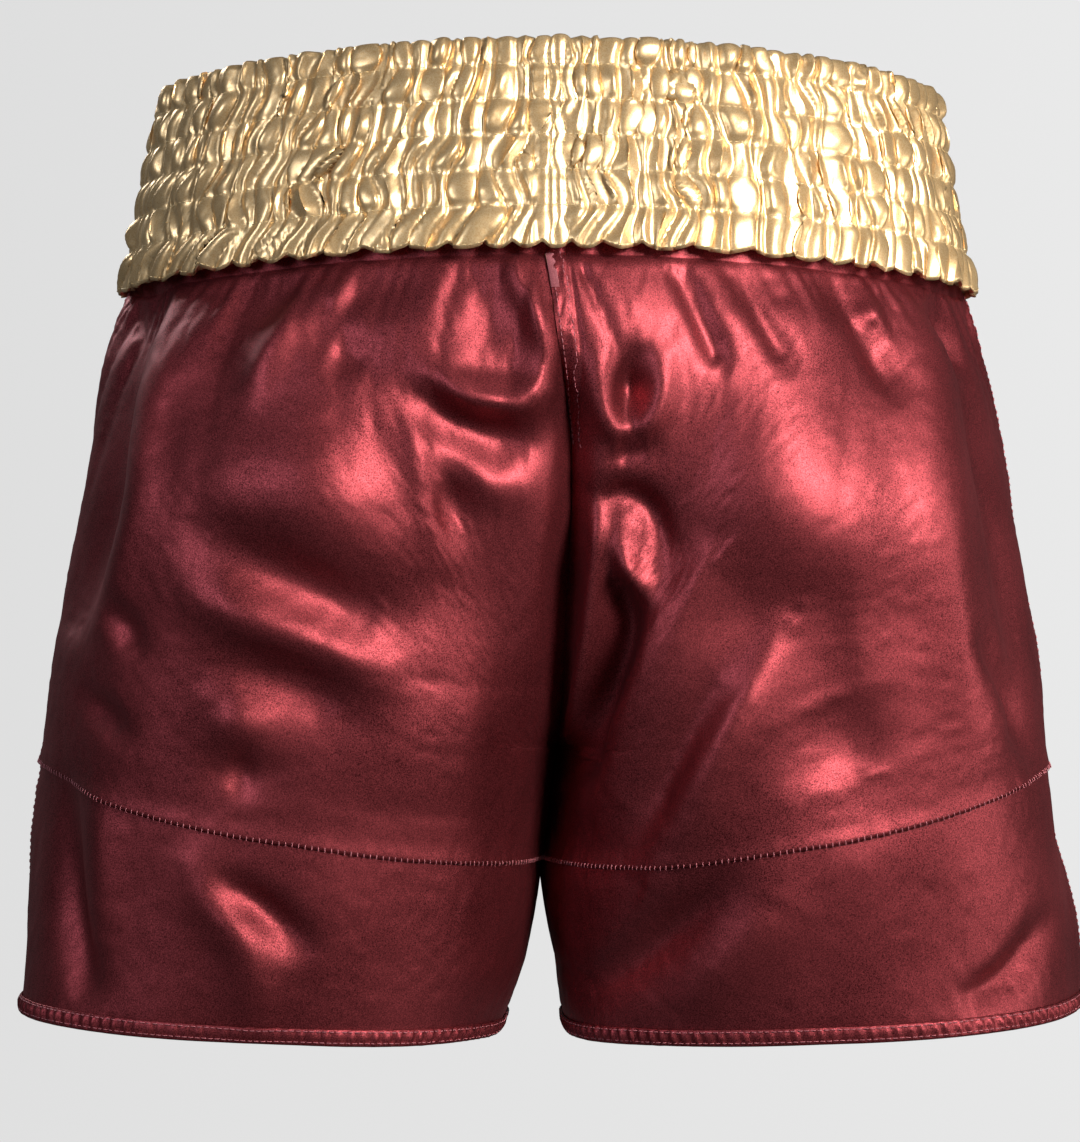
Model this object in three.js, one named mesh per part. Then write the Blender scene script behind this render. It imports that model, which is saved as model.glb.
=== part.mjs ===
// Satin boxing shorts, standing open as if worn. Millimetres, +Z up.
// +X is the wearer's right, +Y the wearer's front, -Y the seat. The origin is the centre of the waist
// opening, level with the waistband's top edge at the sides.
//
// The cloth is cut in quarters: back and front, left and right. Each quarter is an upper panel, which runs
// from the waistband to a curved seam low on the leg, and a lower panel, which runs from there to the hem.
// A folded waistband casing holds six narrow elastics, and a folded binding closes each hem.
// Every seam is a butt joint with a small named gap, and cloth is drawn thicker than it is.
import * as THREE from "three";
import { ParametricGeometry } from "three/addons/geometries/ParametricGeometry.js";

// ---------------------------------------------------------------- waist and waistband
const waistHalfWidth = 160;
const waistHalfDepth = 105;
const bandFlareSide = 15; // how far the band's lower edge stands outside its top edge
const bandFlareBack = 13;
const bandFlareFront = 5;
const backRise = 10; // the top edge at the centre back, above the sides
const frontDip = 7; // the top edge at the centre front, below the sides
const headerHeight = 10; // the channel under the folded top edge
const channelHeight = 14; // each channel below it
const channelCount = 6; // header included
const bandHeight = headerHeight + channelHeight * (channelCount - 1);

// ---------------------------------------------------------------- seat and legs
const outseam = 379; // top edge to hem, at the side
const crotchDepth = 270; // level of the sides' top edge down to the crotch point
const inseamHang = 10.5; // how much lower the hem hangs at the inseam than at the side
const seatFullness = 12;
const bellyFullness = 4;
const hemHalfWidth = 221.5; // centre line to the outside of the leg
const hemHalfDepth = 95;
const legGapAtHem = 28;
const lowerPanelAtSide = 102; // lower panel's height above the hem
const lowerPanelAtMiddle = 81;
const lowerPanelAtInseam = 71.5;
const hemBandHeight = 7;

// ---------------------------------------------------------------- cloth, elastic and clearances
const clothThickness = 1;
const bindingThickness = 0.8;
const labelThickness = 0.8;
const labelHalfWidth = 17;
const labelHeight = 44;
const labelDrop = 14; // below the top edge
const elasticThickness = 1.3;
const elasticEase = 5; // each elastic is this much narrower than its channel
const seamGap = 0.3; // between two butted edges, and between layers
const facetSlack = 0.05; // extra room between layers, for the corners of their facets
const channelSlack = 1.15; // extra room over the middle of each elastic, where the channel puffs out

// ---------------------------------------------------------------- shape of the leg and of the seat
const legSquareness = 2.3; // exponent of the leg's oval
const flareShape = 0.65; // how early the side flares below the band
const fullnessShape = 0.55; // how high the seat's fullest point lies
const gapShape = 3; // how late the gap between the legs opens
const legLead = 0.8; // how much sooner the legs' round form shows beside the centre seam
const roundness = 0.15; // keeps the seat full where the waist's oval turns into the legs'

// ---------------------------------------------------------------- facets
const quarterColumns = 10; // columns in one quarter panel
const seatRows = 8; // waistband to crotch
const thighRows = 2; // crotch to the lower panel's seam
const lowerRows = 3; // the lower panel's seam to the hem binding
const bandStations = 4 * quarterColumns;
const legStations = 2 * quarterColumns;

// ---------------------------------------------------------------- finishes
const goldSatin = { color: 0xc8a66a, roughness: 0.38, metalness: 0.15 };
const burgundySatin = { color: 0x7c1f2d, roughness: 0.42, metalness: 0.05 };
const knittedElastic = { color: 0xe9e6de, roughness: 0.85, metalness: 0 };
const wovenLabel = { color: 0xf1efe8, roughness: 0.7, metalness: 0 };

const { lerp, clamp, smoothstep } = THREE.MathUtils;
const signedPower = (value, power) => Math.sign(value) * Math.abs(value) ** power;

/** 1 at the back, 0 at the front, smooth in between. `turn` is the angle round the waist from the back. */
const backShare = (turn) => (1 + Math.cos(turn)) / 2;

/** The waistband's top edge above or below its level at the sides. */
function topEdge(turn) {
  const facing = Math.cos(turn);
  return (facing > 0 ? backRise : -frontDip) * facing ** 2;
}

/** A point of the waistband: `drop` below the top edge, `out` outside the elastics' middle surface. */
function bandPoint(turn, drop, out) {
  const flare = drop / bandHeight;
  const halfWidth = waistHalfWidth + bandFlareSide * flare;
  const halfDepth = waistHalfDepth + lerp(bandFlareFront, bandFlareBack, backShare(turn)) * flare;
  const outward = new THREE.Vector3(Math.sin(turn) / halfWidth, -Math.cos(turn) / halfDepth, 0).normalize();
  return new THREE.Vector3(halfWidth * Math.sin(turn), -halfDepth * Math.cos(turn), topEdge(turn) - drop)
    .addScaledVector(outward, out);
}

// A quarter turn of the leg is one unit of `way`: 0 at the centre back and the inseam, 1 at the side,
// 2 at the centre front and the inseam again.
const waistTurn = (way) => (Math.PI / 2) * way;
const bandBottom = (way) => topEdge(waistTurn(way)) - bandHeight;

/** The hem's level: highest at the side, lowest at the inseam. */
const hemLevel = (way) => -outseam - inseamHang * (1 + Math.cos(Math.PI * way)) / 2;

/** The curved seam between upper and lower panel, a parabola through its three named heights. */
function lowerSeamLevel(way) {
  const inward = Math.cos(Math.PI * way);
  const slope = (lowerPanelAtInseam - lowerPanelAtSide) / 2;
  const bow = (lowerPanelAtInseam + lowerPanelAtSide) / 2 - lowerPanelAtMiddle;
  return hemLevel(way) + lowerPanelAtMiddle + slope * inward + bow * inward ** 2;
}

/** Half the gap between the two legs' inner cloth, which opens from the crotch to the hem. */
function halfLegGap(level) {
  const closed = (seamGap + clothThickness) / 2;
  const below = clamp((-crotchDepth - level) / (outseam + inseamHang - crotchDepth), 0, 1);
  return closed + (legGapAtHem / 2 - closed) * below ** gapShape;
}

/** A point of the right half's cloth below the waistband: the waist's oval turns into the leg's oval. */
function clothPoint(way, level) {
  const descent = clamp((bandBottom(way) - level) / (bandBottom(way) + outseam), 0, 1);
  const back = backShare(waistTurn(way));
  const fullness = lerp(bellyFullness, seatFullness, back) * Math.sin(Math.PI * descent ** fullnessShape);
  const bandHalfWidth = waistHalfWidth + bandFlareSide;
  const bandHalfDepth = waistHalfDepth + lerp(bandFlareFront, bandFlareBack, back);
  const halfWidth = lerp(bandHalfWidth, hemHalfWidth, descent ** flareShape);
  const halfDepth = lerp(bandHalfDepth, hemHalfDepth, descent) + fullness;

  const gap = halfLegGap(level);
  const power = 2 / legSquareness;
  const legX = (halfWidth + gap) / 2 - ((halfWidth - gap) / 2) * signedPower(Math.cos(Math.PI * way), power);
  const legY = -halfDepth * signedPower(Math.sin(Math.PI * way), power);

  const toCrotch = clamp((bandBottom(way) - level) / (bandBottom(way) + crotchDepth), 0, 1);
  const centreShare = 1 - Math.sqrt(1 - toCrotch ** 2);
  const lead = legLead * Math.sin(waistTurn(way)) * smoothstep(toCrotch, 0, 1);
  const share = centreShare + (1 - centreShare) * lead;
  const rounding = 1 + roundness * 4 * share * (1 - share) * Math.abs(Math.sin(Math.PI * way));
  return new THREE.Vector3(
    lerp(halfWidth * Math.sin(waistTurn(way)), legX, share),
    lerp(-halfDepth * Math.cos(waistTurn(way)), legY, share) * rounding,
    level,
  );
}

/** Reverses a geometry's triangles if they point inwards. */
function facingOut(geometry) {
  const at = geometry.attributes.position;
  const corners = [new THREE.Vector3(), new THREE.Vector3(), new THREE.Vector3()];
  const index = geometry.index.array;
  let volume = 0;
  for (let i = 0; i < index.length; i += 3) {
    corners.forEach((corner, k) => corner.fromBufferAttribute(at, index[i + k]));
    volume += corners[0].dot(corners[1].cross(corners[2]));
  }
  if (volume < 0) {
    for (let i = 0; i < index.length; i += 3) {
      [index[i], index[i + 1]] = [index[i + 1], index[i]];
    }
  }
  return geometry;
}

function solidFrom(positions, index) {
  const geometry = new THREE.BufferGeometry();
  geometry.setAttribute("position", new THREE.Float32BufferAttribute(positions, 3));
  geometry.setIndex(index);
  return facingOut(geometry);
}

/** Gives an open sheet a thickness, half to each side, and closes its rim. `trim` keeps it off its neighbours. */
function thicken(sheet, thickness, trim) {
  sheet.computeVertexNormals();
  const at = sheet.attributes.position;
  const normals = sheet.attributes.normal;
  const positions = [];
  for (const offset of [thickness / 2, -thickness / 2]) {
    for (let i = 0; i < at.count; i++) {
      const normal = new THREE.Vector3().fromBufferAttribute(normals, i);
      const point = new THREE.Vector3().fromBufferAttribute(at, i).addScaledVector(normal, offset);
      positions.push(...trim(point).toArray());
    }
  }
  const faces = [];
  const rim = new Map();
  const triangles = sheet.index.array;
  for (let i = 0; i < triangles.length; i += 3) {
    const [a, b, c] = triangles.slice(i, i + 3);
    faces.push(a, b, c, at.count + a, at.count + c, at.count + b);
    for (const [from, to] of [[a, b], [b, c], [c, a]]) {
      if (!rim.delete(`${to} ${from}`)) {
        rim.set(`${from} ${to}`, [from, to]);
      }
    }
  }
  for (const [from, to] of rim.values()) {
    faces.push(from, at.count + from, at.count + to, from, at.count + to, to);
  }
  return solidFrom(positions, faces);
}

/** Carries a closed profile past every station. A loop joins its last station to its first. */
function sweep(profile, stations, isLoop, place) {
  const rings = isLoop ? stations : stations + 1;
  const size = profile.length;
  const positions = [];
  for (let station = 0; station < rings; station++) {
    profile.forEach((corner) => positions.push(...place(corner, station).toArray()));
  }
  const faces = [];
  for (let station = 0; station < stations; station++) {
    const here = station * size;
    const next = ((station + 1) % rings) * size;
    for (let j = 0; j < size; j++) {
      const k = (j + 1) % size;
      faces.push(here + j, next + j, next + k, here + j, next + k, here + k);
    }
  }
  if (!isLoop) {
    const last = stations * size;
    const profileArea = THREE.ShapeUtils.area(profile);
    for (const corners of THREE.ShapeUtils.triangulateShape(profile, [])) {
      const area = THREE.ShapeUtils.area(corners.map((corner) => profile[corner]));
      const [a, b, c] = area * profileArea > 0 ? corners : corners.reverse();
      faces.push(a, b, c, last + c, last + b, last + a);
    }
  }
  return solidFrom(positions, faces);
}

/** The closed outline of a strip of cloth: its middle line, moved half the thickness to each side. */
function stripProfile(middle, thickness) {
  const moved = (distance) => middle.map((point, i) => {
    const before = middle[Math.max(i - 1, 0)];
    const after = middle[Math.min(i + 1, middle.length - 1)];
    const along = after.clone().sub(before).normalize();
    return new THREE.Vector2(point.x - along.y * distance, point.y + along.x * distance);
  });
  return [...moved(thickness / 2), ...moved(-thickness / 2).reverse()];
}

// ---------------------------------------------------------------- waistband
// How far the middle of the casing's outer cloth stands off the elastics' middle surface.
const stitchStandoff = clothThickness / 2 + seamGap + facetSlack;
const openEdgeStandoff = clothThickness + seamGap + facetSlack;
const channelPuff = (elasticThickness + clothThickness) / 2 + seamGap + channelSlack;

const channels = Array.from({ length: channelCount }, (_, i) => {
  const height = i === 0 ? headerHeight : channelHeight;
  const top = i === 0 ? 0 : headerHeight + channelHeight * (i - 1);
  return { height, top, middle: top + height / 2, bottom: top + height };
});

/** One strip folded over the top edge: six channels outside, a plain wall inside, open at the bottom. */
function waistbandCasing() {
  const insideWall = -(elasticThickness / 2 + seamGap + clothThickness / 2);
  const foldDepth = 1.1;
  const middle = [new THREE.Vector2(openEdgeStandoff, bandHeight)];
  for (const channel of [...channels].reverse()) {
    middle.push(new THREE.Vector2(channelPuff, channel.middle));
    const top = channel.top === 0 ? clothThickness / 2 + foldDepth : channel.top;
    middle.push(new THREE.Vector2(channel.top === 0 ? openEdgeStandoff : stitchStandoff, top));
  }
  middle.push(new THREE.Vector2(0, clothThickness / 2));
  middle.push(new THREE.Vector2(insideWall, clothThickness / 2 + foldDepth));
  middle.push(new THREE.Vector2(insideWall, bandHeight));
  const profile = stripProfile(middle, clothThickness);
  return sweep(profile, bandStations, false, (corner, station) => {
    const point = bandPoint((2 * Math.PI * station) / bandStations, corner.y, corner.x);
    if (station === 0) point.x = seamGap / 2;
    if (station === bandStations) point.x = -seamGap / 2;
    return point;
  });
}

/** One closed loop of flat elastic in the middle of its channel. */
function elasticLoop(channel) {
  const halfWidth = (channel.height - elasticEase) / 2;
  const halfThickness = elasticThickness / 2;
  const profile = [[-1, -1], [1, -1], [1, 1], [-1, 1]].map(
    ([x, y]) => new THREE.Vector2(x * halfThickness, channel.middle + y * halfWidth),
  );
  return sweep(profile, bandStations, true, (corner, station) =>
    bandPoint((2 * Math.PI * station) / bandStations, corner.y, corner.x));
}

/** A blank care label, flat against the inside wall at the centre back, one ply each side of the seam. */
function careLabel() {
  const wall = elasticThickness / 2 + seamGap + clothThickness;
  const inwards = -(wall + seamGap + labelThickness / 2);
  const sheet = new ParametricGeometry((u, v, target) => {
    const x = lerp(-labelHalfWidth, labelHalfWidth, u);
    const drop = labelDrop + labelHeight * v;
    const middle = bandPoint(0, drop, inwards);
    const corner = bandPoint((2 * Math.PI) / bandStations, drop, inwards);
    target.lerpVectors(middle, corner, Math.abs(x) / corner.x);
    target.x = x;
  }, 2, 1);
  return thicken(sheet, labelThickness, (point) => point);
}

// ---------------------------------------------------------------- panels
/** Keeps a right-hand quarter clear of the centre plane and of the plane of the side seam and inseam. */
function trimmedQuarter(isBack) {
  const half = seamGap / 2;
  return (point) => {
    point.x = Math.max(point.x, half);
    point.y = isBack ? Math.min(point.y, -half) : Math.max(point.y, half);
    return point;
  };
}

/** Upper panel: tucked into the casing, down over the seat or belly, to the curved seam on the leg. */
function upperPanel(isBack) {
  const startWay = isBack ? 0 : 1;
  const centreWay = isBack ? 0 : 2;
  const tuck = elasticEase / 2 - seamGap; // ends just under the lowest elastic
  const centreBottom = lowerSeamLevel(centreWay) + seamGap / 2;
  const centreTop = bandBottom(centreWay);
  const crotchShare = (centreTop + crotchDepth) / (centreTop - centreBottom);
  const rows = 1 + seatRows + thighRows;
  const sheet = new ParametricGeometry((u, v, target) => {
    const way = startWay + u;
    const row = Math.round(v * rows);
    if (row === 0) {
      target.copy(bandPoint(waistTurn(way), bandHeight - tuck, 0));
      return;
    }
    const seat = Math.min(row - 1, seatRows) / seatRows;
    const thigh = Math.max(row - 1 - seatRows, 0) / thighRows;
    const share = crotchShare * seat + (1 - crotchShare) * thigh;
    const level = lerp(bandBottom(way), lowerSeamLevel(way) + seamGap / 2, share);
    target.copy(clothPoint(way, level));
  }, quarterColumns, rows);
  return thicken(sheet, clothThickness, trimmedQuarter(isBack));
}

/** Lower panel: from the curved seam down to the top of the hem binding, then straight into its fold. */
function lowerPanel(isBack) {
  const startWay = isBack ? 0 : 1;
  const rows = lowerRows + 1;
  const sheet = new ParametricGeometry((u, v, target) => {
    const way = startWay + u;
    const row = Math.round(v * rows);
    const top = lowerSeamLevel(way) - seamGap / 2;
    const bindingTop = hemLevel(way) + hemBandHeight;
    const inFold = hemLevel(way) + bindingThickness + seamGap;
    const level = row < rows ? lerp(top, bindingTop, row / lowerRows) : inFold;
    target.copy(clothPoint(way, level));
  }, quarterColumns, rows);
  return thicken(sheet, clothThickness, trimmedQuarter(isBack));
}

/** Hem binding: a strip folded up round the lower panels' bottom edge, one closed loop on each leg. */
function hemBinding() {
  const inner = clothThickness / 2 + seamGap;
  const outer = inner + bindingThickness;
  const profile = [
    [outer, hemBandHeight], [outer, 0], [-outer, 0], [-outer, hemBandHeight],
    [-inner, hemBandHeight], [-inner, bindingThickness], [inner, bindingThickness], [inner, hemBandHeight],
  ].map(([out, up]) => new THREE.Vector2(out, up));
  const step = 2 / legStations;
  return sweep(profile, legStations, true, (corner, station) => {
    const way = station * step;
    const level = hemLevel(way) + corner.y;
    const along = clothPoint(way + step / 2, level).sub(clothPoint(way - step / 2, level));
    const outward = new THREE.Vector3(-along.y, along.x, 0).normalize().negate();
    return clothPoint(way, level).addScaledVector(outward, corner.x);
  });
}

/** The left half is the right half's mirror image. */
function mirrored(geometry) {
  const copy = geometry.clone();
  copy.scale(-1, 1, 1);
  return facingOut(copy);
}

// ---------------------------------------------------------------- assembly
const shorts = new THREE.Group();

function addPiece(name, geometry, finish) {
  const piece = new THREE.Mesh(geometry, new THREE.MeshStandardMaterial(finish));
  piece.name = name;
  shorts.add(piece);
}

function addPair(name, geometry, finish) {
  addPiece(`${name}_right`, geometry, finish);
  addPiece(`${name}_left`, mirrored(geometry), finish);
}

addPiece("waistband_casing", waistbandCasing(), goldSatin);
channels.forEach((channel, i) => addPiece(`elastic_${i + 1}`, elasticLoop(channel), knittedElastic));
addPiece("care_label", careLabel(), wovenLabel);
addPair("back_panel", upperPanel(true), burgundySatin);
addPair("front_panel", upperPanel(false), burgundySatin);
addPair("back_lower_panel", lowerPanel(true), burgundySatin);
addPair("front_lower_panel", lowerPanel(false), burgundySatin);
addPair("hem_binding", hemBinding(), burgundySatin);

export default shorts;
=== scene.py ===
# %% [markdown]
# # Satin boxing shorts
# The shorts hang as if worn, seen from behind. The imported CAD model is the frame: it fixes where the
# waistband, the seams and the hems lie. This script makes the cloth that the CAD solids only stand for.
# Cloth looks like cloth because there is more of it than the space needs, so the panels are draped by a
# cloth simulation with a cut that is wider than the waist, and the gathers are what the extra width does.

# %% Load the frame
import math
import bpy
import bmesh
import numpy as np
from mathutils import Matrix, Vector
from mathutils.kdtree import KDTree


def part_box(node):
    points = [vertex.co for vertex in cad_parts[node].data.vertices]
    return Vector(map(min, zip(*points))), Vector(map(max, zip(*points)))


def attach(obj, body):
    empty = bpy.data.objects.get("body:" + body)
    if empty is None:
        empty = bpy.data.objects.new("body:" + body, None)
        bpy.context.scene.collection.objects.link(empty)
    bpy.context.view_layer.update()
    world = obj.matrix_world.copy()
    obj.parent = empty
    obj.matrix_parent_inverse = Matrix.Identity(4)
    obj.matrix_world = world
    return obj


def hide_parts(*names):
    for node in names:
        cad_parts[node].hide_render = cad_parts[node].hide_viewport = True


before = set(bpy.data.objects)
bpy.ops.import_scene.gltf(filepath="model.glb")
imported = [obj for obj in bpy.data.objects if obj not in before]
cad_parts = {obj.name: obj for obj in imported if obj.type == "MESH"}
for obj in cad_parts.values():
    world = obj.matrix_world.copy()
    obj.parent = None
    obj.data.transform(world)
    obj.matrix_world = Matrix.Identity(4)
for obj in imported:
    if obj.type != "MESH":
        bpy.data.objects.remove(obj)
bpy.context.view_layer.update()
MM = 0.001

# %% [markdown]
# ## Sizes
# Extents come from the CAD nodes' boxes. What a box can't say, such as the level of the crotch or how square
# a leg's section is, is named here once.

# %% Sizes from the frame
band_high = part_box("waistband_casing")[1]
top_low, top_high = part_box("elastic_1")
last_low, last_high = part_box("elastic_6")
hem_low, hem_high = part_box("hem_binding_right")

HALF_ELASTIC = 0.65 * MM
FRONT_DIP = 7 * MM
HEADER = 10 * MM
CHANNEL = 14 * MM
CHANNELS = 6
BAND_HEIGHT = HEADER + CHANNEL * (CHANNELS - 1)
BACK_RISE = band_high.z
HEM_BAND = 7 * MM
BINDING_OUT = 1.6 * MM
INSEAM_HANG = (hem_high.z - hem_low.z) - HEM_BAND
HEM_SIDE = hem_high.z - HEM_BAND
CROTCH = -270 * MM
LOWER_PANEL = {"side": 102 * MM, "middle": 81 * MM, "inseam": 71.5 * MM}
HEM_HALF_WIDTH = hem_high.x - BINDING_OUT
HEM_HALF_DEPTH = hem_high.y - BINDING_OUT
LEG_GAP = 14 * MM
GAP_TOP = -321 * MM

# The waist's oval widens in a straight line from the first elastic to the last.
top_drop = HEADER / 2
last_drop = BAND_HEIGHT - CHANNEL / 2


def band_line(near_top, near_bottom):
    """(value at the top edge, value at the lower edge) of a straight line through two elastics."""
    slope = (near_bottom - near_top) / (last_drop - top_drop)
    return near_top - slope * top_drop, near_top + slope * (BAND_HEIGHT - top_drop)


WAIST_HALF, BAND_HALF = band_line(top_high.x - HALF_ELASTIC, last_high.x - HALF_ELASTIC)
WAIST_BACK, BAND_BACK = band_line(-top_low.y - HALF_ELASTIC, -last_low.y - HALF_ELASTIC)
WAIST_FRONT, BAND_FRONT = band_line(top_high.y - HALF_ELASTIC, last_high.y - HALF_ELASTIC)
print(f"waist {WAIST_HALF:.4f} x {WAIST_BACK:.4f}")
print(f"waistband's lower edge {BAND_HALF:.4f} x {BAND_BACK:.4f} behind and {BAND_FRONT:.4f} in front")
print(f"hem half width {HEM_HALF_WIDTH:.4f}, depth {HEM_HALF_DEPTH:.4f}, side level {HEM_SIDE:.4f}")


# %% Small number helpers
def lerp(a, b, t):
    """From a to b as t goes from 0 to 1."""
    return a + (b - a) * t


def smooth(t):
    """From 0 to 1 with level ends."""
    t = np.clip(t, 0, 1)
    return t * t * (3 - 2 * t)


def signed_power(value, power):
    return np.sign(value) * np.abs(value) ** power


# %% [markdown]
# ## The undraped form
# `way` runs round one half of the shorts: 0 at the centre back and the inseam, 1 at the side, 2 at the centre
# front. `down` runs from the waistband (0) to the crotch line (1), the curved seam (2) and the hem (3).

# %% The form under the cloth
def back_share(way):
    return (1 + np.cos(math.pi / 2 * way)) / 2


def top_edge(way):
    facing = np.cos(math.pi / 2 * way)
    return np.where(facing > 0, BACK_RISE, -FRONT_DIP) * facing ** 2


def band_bottom(way):
    return top_edge(way) - BAND_HEIGHT


def hem_level(way):
    return HEM_SIDE - INSEAM_HANG * (1 + np.cos(math.pi * way)) / 2


def seam_level(way):
    inward = np.cos(math.pi * way)
    slope = (LOWER_PANEL["inseam"] - LOWER_PANEL["side"]) / 2
    bow = (LOWER_PANEL["inseam"] + LOWER_PANEL["side"]) / 2 - LOWER_PANEL["middle"]
    return hem_level(way) + LOWER_PANEL["middle"] + slope * inward + bow * inward ** 2


CROTCH_SHARE = float((band_bottom(0.0) - CROTCH) / (band_bottom(0.0) - seam_level(0.0)))


def level_at(way, down):
    """Level of a row. Beside the centre seam the rows follow its curve under the seat."""
    band, seam, hem = band_bottom(way), seam_level(way), hem_level(way)
    crotch_row = lerp(band, seam, CROTCH_SHARE)
    seat = np.clip(down, 0, 1)
    beside = smooth(np.sin(math.pi / 2 * way) * 1.4)
    seat = lerp(np.sin(math.pi / 2 * seat), seat, beside)
    upper = lerp(band, crotch_row, seat)
    thigh = lerp(crotch_row, seam, np.clip(down - 1, 0, 1))
    lower = lerp(seam, hem, np.clip(down - 2, 0, 1))
    return np.where(down <= 1, upper, np.where(down <= 2, thigh, lower))


SQUARENESS = 2.3


def form_point(way, down):
    """Points of the right half's form: the waist's oval turns into the leg's oval."""
    level = level_at(way, down)
    back = back_share(way)
    descent = np.clip((band_bottom(way) - level) / (band_bottom(way) - HEM_SIDE), 0, 1)
    fullness = lerp(4 * MM, 12 * MM, back) * np.sin(math.pi * descent ** 0.55)
    half_width = lerp(BAND_HALF, HEM_HALF_WIDTH, descent ** 0.65)
    half_depth = lerp(lerp(BAND_FRONT, BAND_BACK, back), HEM_HALF_DEPTH, descent) + fullness
    below = np.clip((GAP_TOP - level) / (GAP_TOP - hem_level(0.0)), 0, 1)
    gap = -0.4 * MM + (LEG_GAP + 0.4 * MM) * below ** 1.4
    power = 2 / SQUARENESS
    leg_x = (half_width + gap) / 2 - (half_width - gap) / 2 * signed_power(np.cos(math.pi * way), power)
    leg_y = -half_depth * signed_power(np.sin(math.pi * way), power)
    crotch_row = lerp(band_bottom(way), seam_level(way), CROTCH_SHARE)
    to_crotch = np.clip((band_bottom(way) - level) / (band_bottom(way) - crotch_row), 0, 1)
    centre_share = 1 - np.sqrt(1 - to_crotch ** 2)
    lead = smooth(2.4 * np.minimum(way, 2 - way)) * smooth(to_crotch)
    share = centre_share + (1 - centre_share) * lead
    rounding = 1 + 0.15 * 4 * share * (1 - share) * np.abs(np.sin(math.pi * way))
    x = lerp(half_width * np.sin(math.pi / 2 * way), leg_x, share)
    y = lerp(-half_depth * np.cos(math.pi / 2 * way), leg_y, share) * rounding
    return np.stack([x, y, level], axis=-1)


# %% [markdown]
# ## Finishes
# Satin floats its yarns over several others, so its face is nearly all parallel filament. That gives a broad
# sheen in the light and a sudden deep dark away from it, more like brushed metal than like cotton. Each
# finish is therefore a partly metallic surface whose tint is the dye, with a fine grain for the weave. The
# real filaments are 0.02 mm, too fine to show, so the grain is drawn at about 0.5 mm.

# %% Small material helpers
def linear(hex_colour):
    """sRGB hex to a linear colour."""
    parts = [int(hex_colour[i:i + 2], 16) / 255 for i in (1, 3, 5)]
    return [c / 12.92 if c <= 0.04045 else ((c + 0.055) / 1.055) ** 2.4 for c in parts] + [1]


def add_node(material, kind, settings=None, inputs=None, links=None):
    """Adds one node with its settings, its unlinked input values and its links."""
    tree = material.node_tree
    node = tree.nodes.new(kind)
    for key, value in (settings or {}).items():
        setattr(node, key, value)
    for key, value in (inputs or {}).items():
        node.inputs[key].default_value = value
    for key, source in (links or {}).items():
        tree.links.new(source, node.inputs[key])
    return node


def woven(name, light, dark, roughness, metallic, grain, bump, sheen=0.0, sheen_tint="#FFFFFF", patches=0.12):
    """A woven finish: grain is the size of its speckle in millimetres, bump its depth in millimetres."""
    material = bpy.data.materials.new(name)
    material.use_nodes = True
    tree = material.node_tree
    shader = tree.nodes["Principled BSDF"]
    place = add_node(material, "ShaderNodeTexCoord").outputs["Object"]
    speckle = add_node(material, "ShaderNodeTexNoise", links={"Vector": place},
                       inputs={"Scale": 1000 / grain, "Detail": 3.0, "Roughness": 0.65}).outputs["Fac"]
    cloud = add_node(material, "ShaderNodeTexNoise", inputs={"Scale": 22.0, "Detail": 2.0},
                     links={"Vector": place}).outputs["Fac"]
    mixed = add_node(material, "ShaderNodeMath", settings={"operation": "MULTIPLY_ADD"},
                     inputs={1: patches * 2}, links={0: cloud, 2: speckle}).outputs[0]
    ramp = add_node(material, "ShaderNodeValToRGB", links={"Fac": mixed})
    ramp.color_ramp.elements[0].position = 0.32 + patches
    ramp.color_ramp.elements[0].color = linear(dark)
    ramp.color_ramp.elements[1].position = 0.68 + patches
    ramp.color_ramp.elements[1].color = linear(light)
    tree.links.new(ramp.outputs["Color"], shader.inputs["Base Color"])
    rough = add_node(material, "ShaderNodeMapRange", links={"Value": speckle},
                     inputs={"To Min": roughness + 0.05, "To Max": roughness - 0.05}).outputs["Result"]
    tree.links.new(rough, shader.inputs["Roughness"])
    relief = add_node(material, "ShaderNodeBump", inputs={"Strength": 1.0, "Distance": bump * MM},
                      links={"Height": speckle})
    tree.links.new(relief.outputs["Normal"], shader.inputs["Normal"])
    shader.inputs["Metallic"].default_value = metallic
    shader.inputs["Sheen Weight"].default_value = sheen
    shader.inputs["Sheen Tint"].default_value = linear(sheen_tint)
    return material


# %% The finishes
# Polyester satin dyed burgundy: a wide soft sheen with a deep dark beside it.
burgundy_satin = woven("burgundy polyester satin", "#AE4C54", "#441218", 0.49, 0.86, 0.5, 0.05)
# Polyester satin dyed gold: tighter, glossier highlights that read as metal.
gold_satin = woven("gold polyester satin", "#F6DCAE", "#DDB57C", 0.34, 0.72, 0.6, 0.02, patches=0.08)
# Knitted elastic: matt rubber core wrapped in textured polyester.
knitted_elastic = woven("knitted polyester elastic", "#EFEDE6", "#CFCBC0", 0.85, 0.0, 1.1, 0.25)
# Damask woven label: dense, matt, faintly ribbed.
woven_label = woven("damask woven label", "#F4F1EA", "#DEDACF", 0.7, 0.0, 0.5, 0.05)
# Spun polyester sewing thread, slightly paler than its cloth.
burgundy_thread = woven("burgundy sewing thread", "#C9808A", "#9A4A56", 0.55, 0.1, 0.3, 0.02)
gold_thread = woven("gold sewing thread", "#F5E2B8", "#D9BC82", 0.5, 0.2, 0.3, 0.02)
print("finishes:", ", ".join(material.name for material in bpy.data.materials))

# %% [markdown]
# ## Folds
# A fold is a soft ridge or hollow along a short path on the back of the shorts. Satin shows little of its
# weave and much of its slope, so these broad, shallow shapes are what the eye reads. Each is named by what
# makes it: the pull of the waistband, the seat, or the swing of a leg.

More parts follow.
